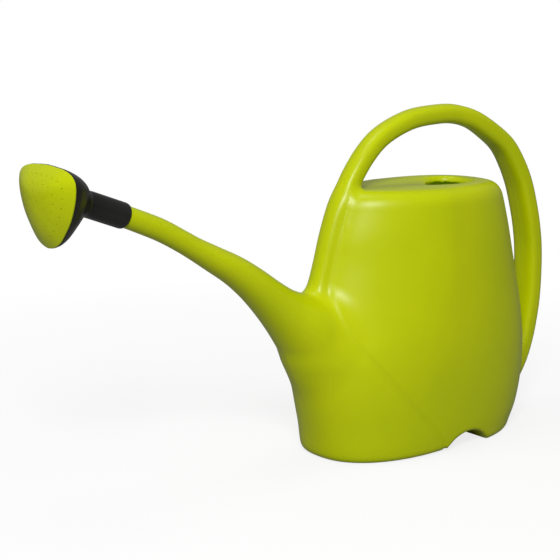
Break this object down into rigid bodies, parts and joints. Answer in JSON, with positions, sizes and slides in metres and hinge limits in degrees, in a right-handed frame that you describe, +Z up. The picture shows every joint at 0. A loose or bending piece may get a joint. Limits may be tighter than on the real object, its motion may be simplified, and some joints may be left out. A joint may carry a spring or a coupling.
{
  "type": "watering can",
  "caption": "Tall moulded watering can with a full loop handle, a long upswept spout and a push-on domed rose that turns, pulls off and opens.",
  "frame": {"origin": "middle of the overall length and width, on the ground", "axes": "+Z up, -X towards the spout tip and the rose, +X towards the back of the handle"},
  "size_m": [0.6484, 0.1584, 0.3612],
  "materials": {
    "lime_plastic": "satin polyethylene, lime green",
    "black_plastic": "semi-gloss black",
    "seal_rubber": "matt"
  },
  "bodies": {
    "can": {"can_body": "lime_plastic", "spout": "lime_plastic", "handle_front": "lime_plastic", "handle_top": "lime_plastic", "handle_rear": "lime_plastic", "spout_tip": "lime_plastic"},
    "seal": {"seal_ring": "seal_rubber"},
    "rose": {"rose_socket": "black_plastic", "rose_horn": "black_plastic"},
    "face": {"rose_face": "lime_plastic"}
  },
  "joints": [
    {"name": "rose_pull", "type": "slide", "parent": "can", "child": "seal", "axis": [-0.9354, 0, 0.3535], "range_m": [0, 0.045]},
    {"name": "rose_turn", "type": "hinge", "parent": "seal", "child": "rose", "pos_m": [-0.2315, 0, 0.2755], "axis": [-0.9354, 0, 0.3535], "continuous": true},
    {"name": "face_pull", "type": "slide", "parent": "rose", "child": "face", "axis": [-1, 0, 0], "range_m": [0, 0.02]}
  ]
}
